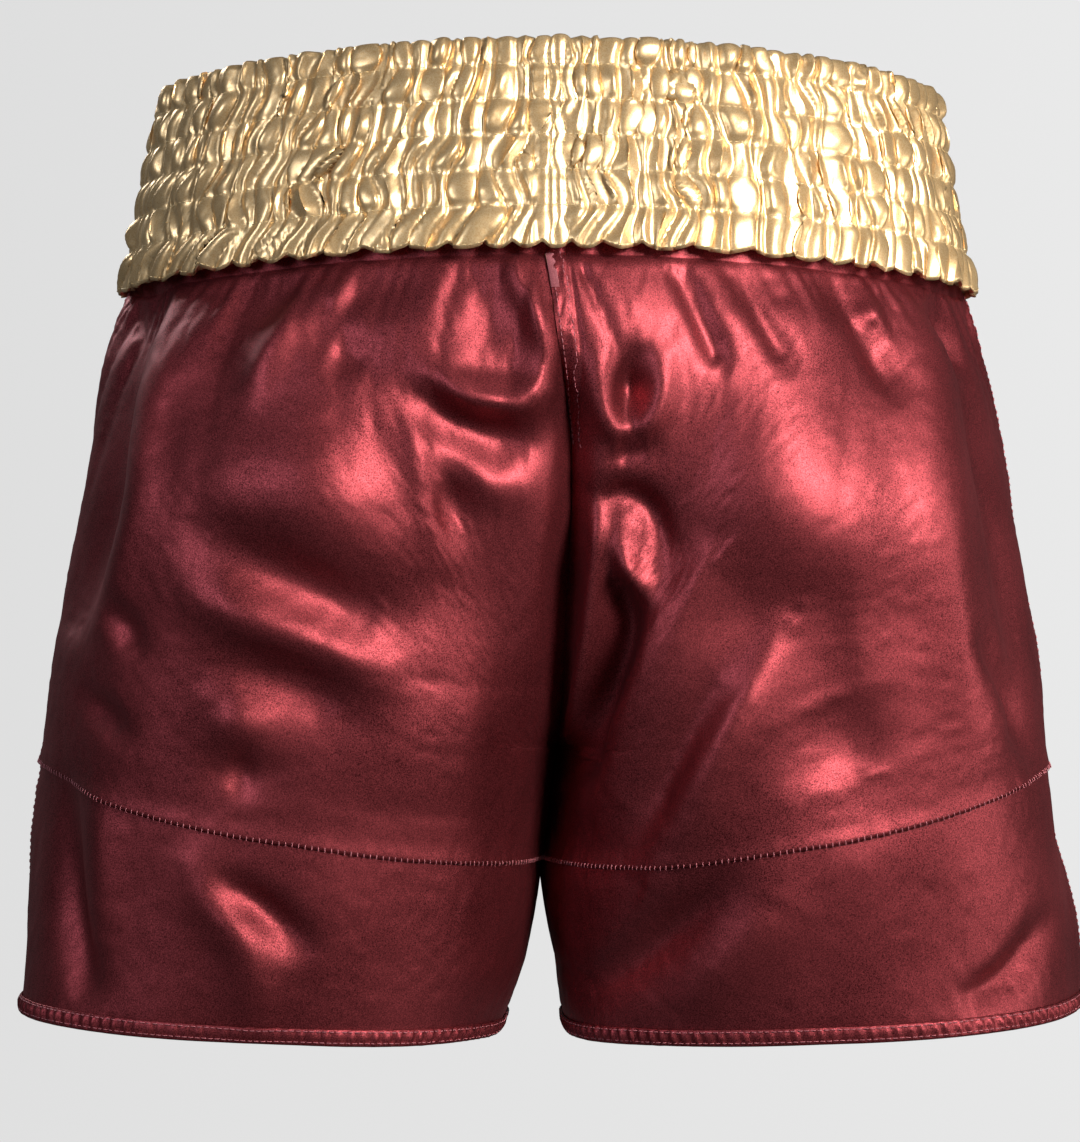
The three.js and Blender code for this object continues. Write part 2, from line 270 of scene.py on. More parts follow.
# %% Fold tools
def eased_path(path, steps=6):
    """A path of a few corners turned into a smooth one."""
    corners = np.array(path, dtype=float)
    if len(corners) < 3:
        return corners
    padded = np.vstack([2 * corners[0] - corners[1], corners, 2 * corners[-1] - corners[-2]])
    line = []
    for a, b, c, d in zip(padded[:-3], padded[1:-2], padded[2:-1], padded[3:]):
        for t in np.arange(steps) / steps:
            line.append(0.5 * (2 * b + (c - a) * t + (2 * a - 5 * b + 4 * c - d) * t ** 2
                               + (3 * b - a - 3 * c + d) * t ** 3))
    return np.array(line + [corners[-1]])


def fold(x, z, height, width, path, steep=0.0):
    """Height of one fold at each point. steep makes one flank sharp and the other long, -1 to 1."""
    line = eased_path(path) * MM
    nearest = np.full(x.shape, np.inf)
    flank = np.zeros(x.shape)
    along = np.zeros(x.shape)
    steps = len(line) - 1
    for i, (a, b) in enumerate(zip(line[:-1], line[1:])):
        dx, dz = b - a
        t = np.clip(((x - a[0]) * dx + (z - a[1]) * dz) / (dx * dx + dz * dz), 0, 1)
        ox, oz = x - a[0] - t * dx, z - a[1] - t * dz
        distance = np.hypot(ox, oz)
        closer = distance < nearest
        nearest = np.where(closer, distance, nearest)
        flank = np.where(closer, np.sign(dx * oz - dz * ox), flank)
        along = np.where(closer, (i + t) / steps, along)
    reach = width * MM * (1 + 0.55 * steep * flank)
    taper = 0.45 + 0.55 * np.sin(math.pi * along) ** 0.7
    return height * MM * taper * np.exp(-(nearest / reach) ** 2)


def soft_noise(points, wavelength, seed, waves=7):
    """Smooth noise of about unit size: a few plane waves with random directions and phases."""
    rng = np.random.default_rng(seed)
    total = np.zeros(points.shape[:-1])
    for _ in range(waves):
        direction = rng.normal(size=3)
        direction /= np.linalg.norm(direction)
        length = wavelength * rng.uniform(0.75, 1.35)
        total += np.sin(2 * math.pi * (points @ direction / length + rng.random()))
    return total / math.sqrt(waves / 2)


# %% The folds by name: height, width, path in millimetres, and how steep one flank is
FOLD_SCALE = 1.45
LEFT_FOLDS = {
    "seat": (1.6, 38, [(-62, -148), (-112, -152)]),
    "side valley": (-5.5, 8, [(-166, -84), (-173, -110), (-178, -140), (-183, -168), (-190, -192),
                              (-197, -215)]),
    "edge of the seat": (3.5, 9, [(-150, -90), (-159, -130), (-163, -165), (-171, -190), (-180, -215)]),
    "pull 1": (3.5, 7, [(-96, -90), (-116, -126)]),
    "pull 2": (3.0, 8, [(-132, -88), (-150, -125)]),
    "pull 3": (2.5, 6, [(-78, -80), (-88, -92)]),
    "pocket under the pulls": (-3.0, 9, [(-72, -116), (-84, -108)]),
    "drape lip": (7.0, 7, [(-46, -122), (-36, -128), (-20, -131), (-9, -127)]),
    "drape arm": (4.5, 6, [(-9, -127), (-5, -112), (-8, -96), (-13, -78)]),
    "drape dish": (-4.0, 11, [(-26, -86), (-26, -112)]),
    "shade under the drape": (-5.0, 9, [(-50, -132), (-34, -144), (-16, -148)]),
    "spur": (3.5, 8, [(-58, -138), (-55, -160), (-50, -190)]),
    "second spur": (3.0, 9, [(-44, -144), (-34, -160), (-22, -165)]),
    "spur pocket": (-3.5, 8, [(-46, -160), (-45, -178)]),
    "seat crest": (3.0, 22, [(-130, -150), (-95, -162), (-70, -178)]),
    "seat hollow": (-6.5, 14, [(-134, -182), (-110, -194), (-86, -207), (-68, -211)]),
    "ledge": (4.5, 11, [(-134, -206), (-114, -214), (-92, -222), (-72, -234)]),
    "second hollow": (-4.0, 11, [(-122, -232), (-98, -240), (-84, -250)]),
    "second ledge": (3.0, 11, [(-130, -248), (-116, -262)]),
    "third hollow": (-3.5, 9, [(-128, -274), (-116, -274)]),
    "hip crease": (-3.0, 6, [(-176, -208), (-166, -224)]),
    "second hip crease": (-3.0, 6, [(-186, -246), (-172, -258)]),
    "thigh": (3.5, 24, [(-45, -240), (-52, -290)]),
    "hem hook": (-4.5, 7, [(-128, -320), (-112, -330), (-98, -342)]),
    "hem ridge": (3.5, 10, [(-140, -316), (-120, -346), (-116, -372)]),
    "hem side crease": (-5.0, 7, [(-200, -284), (-196, -330), (-186, -362)]),
    "hem side ridge": (3.0, 9, [(-180, -290), (-178, -340)]),
}
RIGHT_FOLDS = {
    "side valley": (-2.8, 6, [(165, -85), (180, -149), (190, -209), (199, -273)]),
    "drape dish": (-6.0, 7, [(30, -118), (26, -134)]),
    "drape lip": (4.0, 7, [(14, -118), (16, -136), (28, -144), (40, -130), (42, -116)]),
    "second pocket": (-4.5, 6, [(20, -150), (34, -147)]),
    "seat": (2.2, 38, [(66, -148), (116, -152)]),
    "arc hollow": (-5.5, 7, [(12, -172), (24, -168), (36, -172), (42, -184)]),
    "horn": (5.5, 5.5, [(23, -188), (30, -196), (38, -204)]),
    "tube": (5.0, 6, [(10, -176), (10, -200), (8, -236), (6, -262)]),
    "wedge": (-9.0, 7, [(26, -206), (27, -224), (18, -250), (12, -274)]),
    "under the seat": (-5.0, 26, [(58, -200), (95, -214), (122, -212)]),
    "thigh ridge": (4.5, 11, [(62, -194), (40, -222), (24, -258), (18, -290)], 0.4),
    "thigh hollow": (-3.5, 9, [(62, -244), (48, -276), (42, -296)]),
    "second thigh ridge": (5.0, 12, [(92, -222), (72, -254), (52, -286), (42, -310)], 0.5),
    "thigh shade": (-5.0, 20, [(112, -246), (122, -276)]),
    "side ridge": (4.5, 14, [(152, -112), (156, -150), (162, -216), (176, -264)]),
    "side crease": (-4.5, 6, [(174, -224), (189, -246), (192, -264)]),
    "pull 1": (-3.0, 5, [(52, -82), (64, -110), (66, -114)]),
    "pull 2": (-2.5, 5, [(76, -82), (88, -106), (94, -114)]),
    "pull 3": (3.0, 5, [(128, -88), (132, -98)]),
    "pull 4": (-4.0, 6, [(128, -102), (138, -124)]),
    "pull 5": (-4.0, 5, [(160, -92), (176, -112)]),
    "hem crease": (-5.0, 9, [(66, -320), (44, -342), (22, -364)]),
    "hem ridge": (3.5, 12, [(90, -330), (70, -352), (52, -372)]),
    "corner crease": (-4.5, 7, [(201, -340), (186, -358), (170, -366)]),
}


def folds(x, z):
    total = np.zeros(x.shape)
    for each in (*LEFT_FOLDS.values(), *RIGHT_FOLDS.values()):
        total += fold(x, z, *each)
    return FOLD_SCALE * total


print(f"{len(LEFT_FOLDS)} folds on the left leg, {len(RIGHT_FOLDS)} on the right")

# %% [markdown]
# ## Gathers
# The panels are cut wider than the waist and drawn up by the elastic, so small pleats start in the
# waistband's stitching and run out downwards. They are begun here as soft waves; the cloth simulation below
# makes them into real ones, because only it knows how the extra width buckles.

# %% Gathers under the waistband
def waist_length(way):
    """Length along the waistband's lower edge from the centre back."""
    steps = np.linspace(0, 2, 801)
    x = BAND_HALF * np.sin(math.pi / 2 * steps)
    y = -BAND_BACK * np.cos(math.pi / 2 * steps)
    length = np.concatenate([[0], np.cumsum(np.hypot(np.diff(x), np.diff(y)))])
    return np.interp(way, steps, length)


def gathers(side, way, drop):
    run = waist_length(way) - 0.3 * drop * np.where(way < 1, 1, -1)
    rng = np.random.default_rng(11 if side > 0 else 23)

    def pleats(length, wander):
        phase = run / length
        for wavelength in (5.3, 9.1, 3.1):
            phase = phase + wander * np.sin(2 * math.pi * (run / (wavelength * length) + rng.random()))
        strength = 0.6 + 0.4 * np.sin(2 * math.pi * (run / (4.3 * length) + rng.random()))
        return (np.abs(np.sin(math.pi * phase)) ** 0.7 - 0.6) * strength

    reach = 52 * MM if side < 0 else 31 * MM
    pinch = 0.3 + 0.7 * smooth(drop / (9 * MM))
    fine = 2.4 * MM * pleats(10 * MM, 0.35) * np.exp(-(drop / (0.45 * reach)) ** 1.4) * pinch
    broad = 3.8 * MM * pleats(23 * MM, 0.3) * np.exp(-(drop / reach) ** 1.4) * (1 - np.exp(-drop / (14 * MM)))
    return fine + broad


# %% The cloth before it hangs
SEAM_PATH_LEVEL = np.array([-389, -361, -344, -322, -300, -248, -180, -150, -131, -104, -70]) * MM
SEAM_PATH_X = np.array([-7, -3.4, -3.4, -3.4, 0, 6, 9, 9, 7, 3, -1.5]) * MM


def form_normal(way, down):
    inside = np.clip(way, 1e-3, 2 - 1e-3)
    across = form_point(inside + 1e-3, down) - form_point(inside - 1e-3, down)
    at = np.clip(down, 0.004, 2.996)
    along = form_point(inside, at + 0.003) - form_point(inside, at - 0.003)
    normal = np.cross(along, across)
    return normal / np.maximum(np.linalg.norm(normal, axis=-1, keepdims=True), 1e-12)


def sculpted(side, way, down):
    """The form with its folds, its gathers and the crease of the centre back seam."""
    points = form_point(way, down)
    normal = form_normal(way, down)
    to_centre = np.minimum(way, 2 - way)
    on_seam = (down <= 1) * (1 - smooth(to_centre / 0.05))
    normal[..., 0] *= 1 - on_seam
    points[..., 0] *= side
    normal[..., 0] *= side
    x, level = points[..., 0].copy(), points[..., 2].copy()
    drop = np.maximum(band_bottom(way) - level, 0)
    is_back = smooth((1.02 - way) / 0.12)
    out = folds(x, level) * is_back
    out += gathers(side, way, drop) * (1 - on_seam)
    settled = smooth(drop / (40 * MM))
    out += 0.5 * MM * soft_noise(points, 80 * MM, 5) * settled
    out += 2.0 * MM * soft_noise(points, 95 * MM, 8) * settled * (1 - is_back)
    out -= 1.6 * MM * np.exp(-drop / (8 * MM))
    # The cloth is drawn in under the waistband and comes out again over the seat.
    out -= 5.5 * MM * np.exp(-(drop / (26 * MM)) ** 2) * is_back
    seat = np.exp(-((np.abs(x) - 100 * MM) / (62 * MM)) ** 2) * is_back
    out += 4.0 * MM * seat * smooth(drop / (28 * MM)) * (1 - smooth((drop - 88 * MM) / (60 * MM)))
    if side < 0:  # the left hip is a little fuller
        out += 5.0 * MM * np.exp(-((level + 128 * MM) / (45 * MM)) ** 2 - ((way - 1) / 0.3) ** 2)
    out *= np.where(down > 1, smooth(to_centre / 0.1), 1)
    depth = 15 * MM * smooth((-level - 92 * MM) / (60 * MM)) * (1 - smooth((-level - 200 * MM) / (66 * MM)))
    out -= depth * np.exp(-(np.abs(x) / (7 * MM)) ** 1.3) * is_back * (down <= 1)
    points += normal * out[..., None]
    share = lerp(is_back, 1, smooth((down - 0.75) / 0.25))
    points[..., 0] += np.interp(level, SEAM_PATH_LEVEL, SEAM_PATH_X) * np.exp(-(x / (55 * MM)) ** 2) * share
    return points


# %% [markdown]
# ## The cloth hangs
# The two halves are one grid each, welded along the centre seam and the inseams as a sewn garment is. The
# simulation's rest shape, the cut, is wider than the start near the waistband, so the cloth has to buckle
# into gathers there. It runs ten times life size, because the solver is tuned for curtain-sized cloth. The
# seams and the hems are held where the frame has them, and gravity is weak in place of the hidden
# mannequin that holds the real shorts open.

# %% Grid of one half
COLUMNS = 200
SEAT_ROWS, THIGH_ROWS, LOWER_ROWS = 54, 12, 20
ROWS = SEAT_ROWS + THIGH_ROWS + LOWER_ROWS


def down_of(row):
    seat = np.clip(row / SEAT_ROWS, 0, 1)
    thigh = np.clip((row - SEAT_ROWS) / THIGH_ROWS, 0, 1)
    return seat + thigh + np.clip((row - SEAT_ROWS - THIGH_ROWS) / LOWER_ROWS, 0, 1)


def row_of(down):
    down = np.asarray(down, dtype=float)
    return (np.clip(down, 0, 1) * SEAT_ROWS + np.clip(down - 1, 0, 1) * THIGH_ROWS
            + np.clip(down - 2, 0, 1) * LOWER_ROWS)


row_index, column_index = np.meshgrid(np.arange(ROWS + 1), np.arange(COLUMNS + 1), indexing="ij")
WAY, DOWN = 2 * column_index / COLUMNS, down_of(row_index)


def mirrored_form(side):
    points = form_point(WAY, DOWN)
    points[..., 0] *= side
    return points


# %% Grids become meshes
def grid_object(name, points):
    """A mesh grid through an array of points, rows by columns."""
    rows, columns = points.shape[0] - 1, points.shape[1] - 1
    mesh = bmesh.new()
    bmesh.ops.create_grid(mesh, x_segments=columns, y_segments=rows, size=1)
    data = bpy.data.meshes.new(name)
    mesh.to_mesh(data)
    mesh.free()
    flat = read_points(data)
    column = np.rint((flat[:, 0] + 1) / 2 * columns).astype(int)
    row = np.rint((1 - flat[:, 1]) / 2 * rows).astype(int)
    data.vertices.foreach_set("co", points[row, column].astype(np.float32).ravel())
    data.polygons.foreach_set("use_smooth", np.ones(len(data.polygons), dtype=bool))
    thing = bpy.data.objects.new(name, data)
    bpy.context.scene.collection.objects.link(thing)
    return thing


def read_points(data):
    flat = np.empty(len(data.vertices) * 3)
    data.vertices.foreach_get("co", flat)
    return flat.reshape(-1, 3)


def welded(thing, distance):
    """Joins the points that lie together, and turns the faces outwards."""
    mesh = bmesh.new()
    mesh.from_mesh(thing.data)
    bmesh.ops.remove_doubles(mesh, verts=mesh.verts, dist=distance)
    bmesh.ops.recalc_face_normals(mesh, faces=mesh.faces)
    mesh.to_mesh(thing.data)
    mesh.free()
    return thing


def joined(name, grids):
    """Several grids as one object, welded where they meet."""
    things = [grid_object(name, points) for points in grids]
    with bpy.context.temp_override(active_object=things[0], selected_editable_objects=things):
        bpy.ops.object.join()
    return welded(things[0], 1e-5)


def surface_normals(points, side):
    """Unit normals of a grid of points, pointing out of the cloth."""
    normal = np.cross(np.gradient(points, axis=0), np.gradient(points, axis=1)) * side
    return normal / np.maximum(np.linalg.norm(normal, axis=-1, keepdims=True), 1e-12)


# %% Start and cut
EXTRA_WIDTH = 0.13
rng = np.random.default_rng(7)
start, cut = {}, {}
for side in (1, -1):
    start[side] = sculpted(side, WAY, DOWN)
    jitter = rng.normal(0, 0.08 * MM, DOWN.shape) * (WAY > 0) * (WAY < 2) * (DOWN > 0)
    wide = 1 + EXTRA_WIDTH * (1 - smooth(np.clip(DOWN, 0, 1)))
    cut[side] = start[side] * np.stack([wide, wide, np.ones_like(wide)], axis=-1)
    start[side] = start[side] + surface_normals(start[side], side) * jitter[..., None]


def flat_size(points):
    """Greatest width, mean length and area of a grid of points, in metres."""
    across = np.linalg.norm(np.diff(points, axis=1), axis=-1)
    along = np.linalg.norm(np.diff(points, axis=0), axis=-1)
    area = (0.5 * (across[1:] + across[:-1]) * 0.5 * (along[:, 1:] + along[:, :-1])).sum()
    return float(across.sum(axis=1).max()), float(along.sum(axis=0).max()), float(area)


# %% Hang the cloth
LIFE = 10
CALM_PASSES = 110


def hang(start, cut, frames=25):
    forms = {side: mirrored_form(side) for side in start}
    cloth = joined("cloth", list(forms.values()))
    seamed = read_points(cloth.data)
    tree = KDTree(len(seamed))
    for i, point in enumerate(seamed):
        tree.insert(point, i)
    tree.balance()
    where = {side: np.array([tree.find(p)[1] for p in forms[side].reshape(-1, 3)]).reshape(DOWN.shape)
             for side in forms}

    def spread(arrays):
        values = np.zeros_like(seamed)
        for side in arrays:
            values[where[side].ravel()] = arrays[side].reshape(-1, 3)
        return (LIFE * values).astype(np.float32).ravel()

    cloth.data.vertices.foreach_set("co", spread(start))
    cloth.shape_key_add(name="start")
    wide = cloth.shape_key_add(name="cut")
    wide.data.foreach_set("co", spread(cut))
    wide.value = 0
    held = np.zeros(len(seamed))
    for side in forms:
        middle_seam = (WAY == 0) | (WAY == 2)
        inseam = middle_seam & (DOWN >= 1)
        for mask, weight in ((DOWN == 0, 1.0), (DOWN == 3, 1.0), (middle_seam, 0.6), (inseam, 1.0)):
            held[where[side][mask]] = np.maximum(held[where[side][mask]], weight)
    pins = cloth.vertex_groups.new(name="sewn edges")
    for weight in (0.6, 1.0):
        pins.add([int(i) for i in np.nonzero(held == weight)[0]], weight, "REPLACE")

    modifier = cloth.modifiers.new("Cloth", "CLOTH")
    settings = modifier.settings
    settings.quality, settings.mass, settings.air_damping = 5, 0.15, 1
    settings.tension_stiffness = settings.compression_stiffness = 15
    settings.shear_stiffness, settings.bending_stiffness = 5, 3.0
    settings.tension_damping = settings.compression_damping = settings.shear_damping = 5
    settings.vertex_group_mass = "sewn edges"
    settings.rest_shape_key = wide
    modifier.collision_settings.use_collision = False
    modifier.collision_settings.use_self_collision = False
    settings.effector_weights.gravity = 0.15
    modifier.point_cache.frame_start, modifier.point_cache.frame_end = 1, frames
    scene = bpy.context.scene
    scene.frame_start, scene.frame_end = 1, frames
    for number in range(1, frames + 1):
        scene.frame_set(number)
    ready = cloth.evaluated_get(bpy.context.evaluated_depsgraph_get())
    result = read_points(ready.data) / LIFE
    bpy.data.objects.remove(cloth)
    scene.frame_set(1)
    return {side: result[where[side]] for side in forms}


def calmed(side, points):
    """The gathers keep their sharpness; further down, where satin falls smoothly, small ripples are eased."""
    moved = points - start[side]
    eased = moved.copy()
    for _ in range(CALM_PASSES):
        inner = eased.copy()
        inner[1:-1] = (eased[:-2] + 2 * eased[1:-1] + eased[2:]) / 4
        eased = inner.copy()
        eased[:, 1:-1] = (inner[:, :-2] + 2 * inner[:, 1:-1] + inner[:, 2:]) / 4
    drop = band_bottom(WAY) - level_at(WAY, DOWN)
    share = smooth((drop - 8 * MM) / (36 * MM))[..., None]
    return start[side] + lerp(moved, eased, share)


hung = hang(start, cut)
hung = {side: calmed(side, points) for side, points in hung.items()}
moved = np.linalg.norm(hung[1] - start[1], axis=-1) / MM
print(f"the cloth moved {moved.mean():.1f} mm on average and {moved.max():.1f} mm at most")

# %% [markdown]
# ## Panels
# Each panel is resampled from the hung cloth as a finer grid, then given what sewing does to it: the folded
# edge of the upper panel stands proud of the lower one, seams pull in, and every seam puckers a little
# because thread is tighter than cloth.

# %% Resampling
def resample(points, rows, columns):
    """A grid of points read at fractional rows and columns, smoothly."""
    for axis, at in ((0, np.asarray(rows)), (1, np.asarray(columns))):
        points = np.moveaxis(points, axis, 0)
        last = len(points) - 1
        i = np.clip(np.floor(at).astype(int), 0, last - 1)
        t = (at - i)[:, None, None]
        a, b, c, d = points[np.maximum(i - 1, 0)], points[i], points[i + 1], points[np.minimum(i + 2, last)]
        points = 0.5 * (2 * b + (c - a) * t + (2 * a - 5 * b + 4 * c - d) * t ** 2
                        + (3 * b - a - 3 * c + d) * t ** 3)
        points = np.moveaxis(points, 0, axis)
    return points


def cloth_at(side, ways, downs):
    return resample(hung[side], row_of(downs), np.asarray(ways) * COLUMNS / 2)


def run_along(points):
    """Length along each row of a grid from its first column."""
    steps = np.linalg.norm(np.diff(points, axis=1), axis=-1)
    return np.concatenate([np.zeros((len(points), 1)), np.cumsum(steps, axis=1)], axis=1)


def run_down(points):
    return run_along(points.swapaxes(0, 1)).T


def pucker(length, pitch, seed):
    """Uneven little waves along a seam."""
    rng = np.random.default_rng(seed)
    phase = length / pitch
    for wavelength in (3.1, 5.7, 8.9):
        phase = phase + 0.3 * np.sin(2 * math.pi * (length / (wavelength * pitch) + rng.random()))
    strength = 0.7 + 0.3 * np.sin(2 * math.pi * (length / (6.7 * pitch) + rng.random()))
    return np.sin(2 * math.pi * phase) * strength


# %% One panel
CLOTH = 0.35 * MM
FELL_WIDTH = 8 * MM
PANEL_WAYS = {"back": np.linspace(0, 1, 181) ** 1.25, "front": np.linspace(1, 2, 121)}
UPPER_DOWNS = np.concatenate([np.linspace(0, 1, 141), np.linspace(1, 2, 41)[1:]])
LOWER_DOWNS = np.concatenate([[1.93], np.linspace(1.97, 2.97, 61)])
made = {}


def sewn(side, face, part):
    """Points of one panel after sewing, with rows from its top edge to its lower edge."""
    ways = PANEL_WAYS[face]
    downs = UPPER_DOWNS if part == "upper" else LOWER_DOWNS
    points = cloth_at(side, ways, downs)
    normal = surface_normals(points, side)
    along, fallen = run_along(points), run_down(points)
    left = fallen[-1] - fallen
    rest = along[:, -1:] - along
    to_side, to_centre = (rest, along) if face == "back" else (along, rest)
    above_crotch = (downs < 1)[:, None]
    normal[..., 0] *= np.where(above_crotch, 1 - np.exp(-(to_centre / (2.5 * MM)) ** 2), 1)
    out = 0.04 * MM * soft_noise(points, 13 * MM, 3)
    seed = 40 + 2 * side + (face == "back") + 7 * (part == "upper")
    if part == "upper":
        out += 0.28 * MM * pucker(along, 5.5 * MM, seed) * np.exp(-left / (7 * MM))
        out += 0.9 * MM * np.exp(-(left / (5 * MM)) ** 2)
        out -= 1.3 * MM * np.exp(-(left / (0.6 * MM)) ** 2)
    else:
        out += 0.2 * MM * pucker(along, 5.5 * MM, seed) * np.exp(-fallen / (12 * MM))
        out -= 0.5 * MM * np.exp(-(fallen / (8 * MM)) ** 2)
        out += 0.35 * MM * pucker(along, 4.5 * MM, seed + 1) * np.exp(-left / (9 * MM))
        out -= 0.3 * MM * np.exp(-(left / (6 * MM)) ** 2)
    out += 0.35 * MM * pucker(fallen, 7 * MM, seed + 2) * np.exp(-to_side / (6 * MM))
    out -= 0.8 * MM * np.exp(-(to_side / (1.3 * MM)) ** 2)
    out -= 0.8 * MM * np.exp(-(to_centre / (1.3 * MM)) ** 2) * above_crotch
    out += 0.3 * MM * pucker(fallen, 6 * MM, seed + 3) * np.exp(-to_centre / (7 * MM)) * above_crotch
    if face == "back" and part == "upper" and side > 0:
        # The felled seam is a raised strip that narrows downwards, with puckers that slant.
        fell = FELL_WIDTH * (1 - smooth((-points[..., 2] - 118 * MM) / (50 * MM)))
        on_fell = smooth((fell - to_centre) / (0.8 * MM) + 0.5) * smooth(fell / (2 * MM))
        slanted = pucker(fallen - 0.7 * to_centre, 4.2 * MM, 91)
        out += on_fell * (0.9 + 0.55 * slanted) * MM
        out -= 0.9 * MM * np.exp(-((to_centre - fell) / (1.1 * MM)) ** 2) * smooth(fell / (2 * MM))
    return points + normal * out[..., None]


def sewn_in(side, ways):
    """The edge of the cloth that is sewn to the casing's inner wall, 5 mm above the lower edge."""
    edge = form_point(ways, 0.0) - 2 * MM * form_normal(ways, 0.0)
    return (edge + np.array([0, 0, 5 * MM])) * np.array([side, 1, 1])


def panel(side, face, part):
    """Makes one panel, hides the CAD node it stands for, and prints its cut."""
    label = {1: "right", -1: "left"}[side]
    points = sewn(side, face, part)
    made[side, face, part] = points
    downs, lower = (UPPER_DOWNS, "") if part == "upper" else (LOWER_DOWNS, "lower_")
    if part == "upper":
        points = np.concatenate([sewn_in(side, PANEL_WAYS[face])[None], points])
    thing = grid_object(f"{face}_{lower}{label}_satin", points[:, ::side])
    wall = thing.modifiers.new("cloth thickness", "SOLIDIFY")
    wall.thickness, wall.offset = CLOTH, -1
    thing.data.materials.append(burgundy_satin)
    width, length, area = flat_size(resample(cut[side], row_of(downs), PANEL_WAYS[face] * COLUMNS / 2))
    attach(thing, "root")
    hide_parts(f"{face}_{lower}panel_{label}")
    print(f"{thing.name}: cut {width * 1000:.0f} x {length * 1000:.0f} mm, {area * 1e4:.0f} cm2")


for side in (1, -1):
    for face in ("back", "front"):
        for part in ("upper", "lower"):
            panel(side, face, part)

# %% [markdown]
# ## Hem bindings
# Each leg ends in a narrow folded binding with a stitch row at its top and another near its fold. It is a
# strip whose section goes up inside the leg, round the hem and up outside. It could be swept along a curve,
# but the hem isn't an even curve: the section is laid on the hung cloth, point by point, so it follows
# every wave.

# %% One hem binding
HEM_WAYS = np.linspace(0, 2, 701)
RING_WELD = 2e-6
# (height, offset) pairs round the section, in millimetres, closed on itself.
BINDING_SECTION = [
    (7.0, -0.35), (6.9, -0.75), (6.0, -0.85), (3.5, -0.95), (1.2, -0.9), (0.3, -0.6), (0.0, 0.0), (0.3, 0.6),
    (1.0, 0.85), (1.8, 0.8), (2.8, 1.05), (4.0, 1.15), (5.2, 1.05), (6.0, 0.85), (6.7, 0.8), (7.0, 0.5),
    (6.9, 0.3), (4.0, 0.3), (1.3, 0.25), (1.3, -0.25), (4.0, -0.3), (7.0, -0.35)]


def hem_frame(side):
    """Points along the hem, with the upward and the outward direction at each."""
    bottom = cloth_at(side, HEM_WAYS, [3.0])[0]
    high = cloth_at(side, HEM_WAYS, [2.9])[0]
    rise = high - bottom
    rise /= np.linalg.norm(rise, axis=1, keepdims=True)
    ahead = np.roll(bottom[:-1], -1, axis=0) - np.roll(bottom[:-1], 1, axis=0)
    ahead = np.vstack([ahead, ahead[:1]])
    outward = np.cross(rise, ahead) * -side
    outward /= np.linalg.norm(outward, axis=1, keepdims=True)
    return bottom, rise, outward


hem_rows = {}
for side, label in ((1, "right"), (-1, "left")):
    bottom, rise, outward = hem_frame(side)
    length = run_along(bottom[None])[0]
    total = length[-1]
    pitch = total / round(total / (5.0 * MM))
    wave = np.sin(2 * math.pi * length / pitch) * (1.3 + 0.6 * np.sin(2 * math.pi * 3 * length / total))
    wave2 = np.sin(2 * math.pi * round(total / (3.3 * MM)) * length / total)
    rows = []
    for height, offset in BINDING_SECTION:
        outside = 1 if offset > 0 else 0.4
        puff = (0.45 * wave + 0.2 * wave2) * math.sin(math.pi * min(height / 7, 1)) * outside
        rows.append(bottom + rise * (height * MM) + outward * ((offset + puff)[:, None] * MM))
    thing = grid_object(f"hem_binding_{label}_satin", np.array(rows)[:, ::side])
    welded(thing, RING_WELD)
    thing.data.materials.append(burgundy_satin)
    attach(thing, "root")
    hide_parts(f"hem_binding_{label}")
    hem_rows[side] = (bottom, rise, outward)
    print(f"{thing.name}: {total * 1000:.0f} mm round")

# %% [markdown]
# ## Waistband casing
# One strip of gold satin, folded over the top edge and stitched through in six channels, each with an
# elastic inside. The strip is longer than the elastics, so it stands up in upright folds that are pinched
# at every stitch row and shift sideways from one channel to the next. The strip is built as one section:
# turned in, up outside, over the top, down inside, and turned in at the lower edge. Where each fold begins
# and ends is drawn at random once for every stitch row, and the rows between are led from one to the next.

# %% Where the casing lies
BAND_COLUMNS = 1180
BAND_LINES = np.array([0, 10, 24, 38, 52, 66, 80]) * MM


def band_point(turn, depth):
    """Middle of the casing. turn runs from -2 to 2 with the centre back at 0 and the right side at 1."""
    share = depth / BAND_HEIGHT
    way = np.abs(turn)
    back = back_share(way)
    half_width = lerp(WAIST_HALF, BAND_HALF, share)
    half_depth = lerp(lerp(WAIST_FRONT, WAIST_BACK, back), lerp(BAND_FRONT, BAND_BACK, back), share)
    x = half_width * np.sin(math.pi / 2 * turn)
    return np.stack([x, -half_depth * np.cos(math.pi / 2 * turn), top_edge(way) - depth], axis=-1)


fine_turn = np.linspace(-2, 2, 4001)
fine_run = np.linalg.norm(np.diff(band_point(fine_turn, BAND_HEIGHT / 2)[:, :2], axis=0), axis=1)
fine_run = np.concatenate([[0], np.cumsum(fine_run)])
AROUND = fine_run[-1]
run = np.linspace(0, AROUND, BAND_COLUMNS + 1)
TURN = np.interp(run, fine_run, fine_turn)
run = run - AROUND / 2
print(f"casing: {AROUND * 1000:.0f} mm round at mid height")

